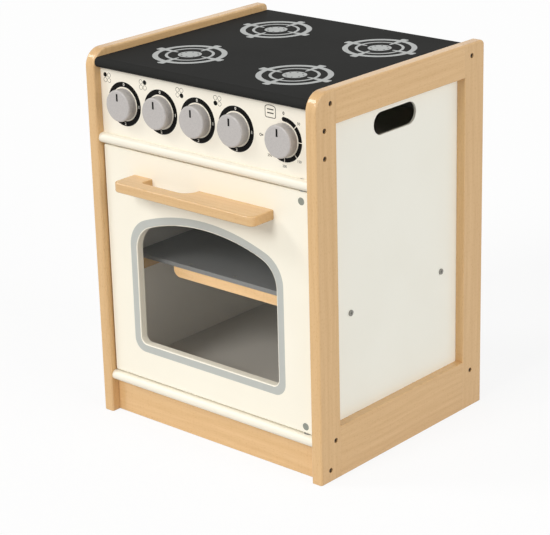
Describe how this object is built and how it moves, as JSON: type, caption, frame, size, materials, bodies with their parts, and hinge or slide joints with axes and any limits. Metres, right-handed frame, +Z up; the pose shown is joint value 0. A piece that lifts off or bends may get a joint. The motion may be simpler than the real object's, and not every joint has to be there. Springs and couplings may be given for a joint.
{
  "type": "toy oven",
  "caption": "Play cooker: side frames with carrying slots carry a hob board, a knob panel and an oven with a side-hung window door and a shelf.",
  "frame": {"origin": "centre of the bounding box in X and Y (handle included), on the floor the cooker stands on", "axes": "+Z up, -Y towards the child who plays (the door and knobs face -Y), +X to the right seen from the front"},
  "size_m": [0.4368, 0.417, 0.57],
  "materials": {
    "beech": "clear satin lacquer",
    "cream_paint": "cream satin paint on board",
    "panel_paint": "off-white satin paint on thin board",
    "black_board": "black satin paint on board",
    "grey_board": "dark grey satin paint on board",
    "knob_plastic": "light grey, finely grained",
    "catch_plastic": "pale moulded plastic",
    "clear_plastic": "clear and smooth",
    "steel": "zinc plated",
    "magnet": "nickel plated"
  },
  "bodies": {
    "cabinet": {"left_front_post": "beech", "left_rear_post": "beech", "left_top_rail": "beech", "left_bottom_rail": "beech", "left_side_panel": "panel_paint", "left_frame_dowels": "beech", "left_frame_screws": "steel", "left_batten_screws": "steel", "left_oven_liner": "grey_board", "left_shelf_batten": "beech", "right_front_post": "beech", "right_rear_post": "beech", "right_top_rail": "beech", "right_bottom_rail": "beech", "right_side_panel": "panel_paint", "right_frame_dowels": "beech", "right_frame_screws": "steel", "right_batten_screws": "steel", "right_oven_liner": "grey_board", "right_shelf_batten": "beech", "hob_board": "black_board", "control_panel": "cream_paint", "middle_board": "cream_paint", "bottom_board": "cream_paint", "front_plinth": "beech", "rear_plinth": "beech", "back_panel": "grey_board", "back_panel_screws": "steel", "board_dowels": "beech", "oven_floor_liner": "grey_board", "oven_ceiling_liner": "grey_board", "magnet_catch_case": "catch_plastic", "catch_magnet": "magnet", "catch_screws": "steel", "knob_bushes": "catch_plastic"},
    "door": {"door_board": "cream_paint", "window_pane": "clear_plastic", "door_handle": "beech", "handle_screws": "steel", "pivot_cross_dowels": "steel", "pivot_bolts": "steel", "pivot_washers": "steel", "catch_plate": "steel", "catch_plate_screw": "steel"},
    "shelf": {"shelf_board": "grey_board", "shelf_front_rail": "beech", "shelf_screws": "steel"},
    "hob_knob_1": {"knob_1": "knob_plastic", "knob_1_bolt": "steel"},
    "hob_knob_2": {"knob_2": "knob_plastic", "knob_2_bolt": "steel"},
    "hob_knob_3": {"knob_3": "knob_plastic", "knob_3_bolt": "steel"},
    "hob_knob_4": {"knob_4": "knob_plastic", "knob_4_bolt": "steel"},
    "oven_knob_set": {"oven_knob": "knob_plastic", "oven_knob_bolt": "steel"}
  },
  "joints": [
    {"name": "door_hinge", "type": "hinge", "parent": "cabinet", "child": "door", "pos_m": [0.1826, -0.157, 0.2482], "axis": [0, 0, 1], "range_deg": [0, 110]},
    {"name": "shelf_slide", "type": "slide", "parent": "cabinet", "child": "shelf", "axis": [0, -1, 0], "range_m": [0, 0.025]},
    {"name": "hob_knob_1_turn", "type": "hinge", "parent": "cabinet", "child": "hob_knob_1", "pos_m": [-0.1532, -0.1615, 0.49475], "axis": [0, -1, 0], "continuous": true},
    {"name": "hob_knob_2_turn", "type": "hinge", "parent": "cabinet", "child": "hob_knob_2", "pos_m": [-0.08066, -0.1615, 0.49475], "axis": [0, -1, 0], "continuous": true},
    {"name": "hob_knob_3_turn", "type": "hinge", "parent": "cabinet", "child": "hob_knob_3", "pos_m": [-0.00813, -0.1615, 0.49475], "axis": [0, -1, 0], "continuous": true},
    {"name": "hob_knob_4_turn", "type": "hinge", "parent": "cabinet", "child": "hob_knob_4", "pos_m": [0.06441, -0.1615, 0.49475], "axis": [0, -1, 0], "continuous": true},
    {"name": "oven_knob_turn", "type": "hinge", "parent": "cabinet", "child": "oven_knob_set", "pos_m": [0.152, -0.1615, 0.49475], "axis": [0, -1, 0], "continuous": true}
  ]
}
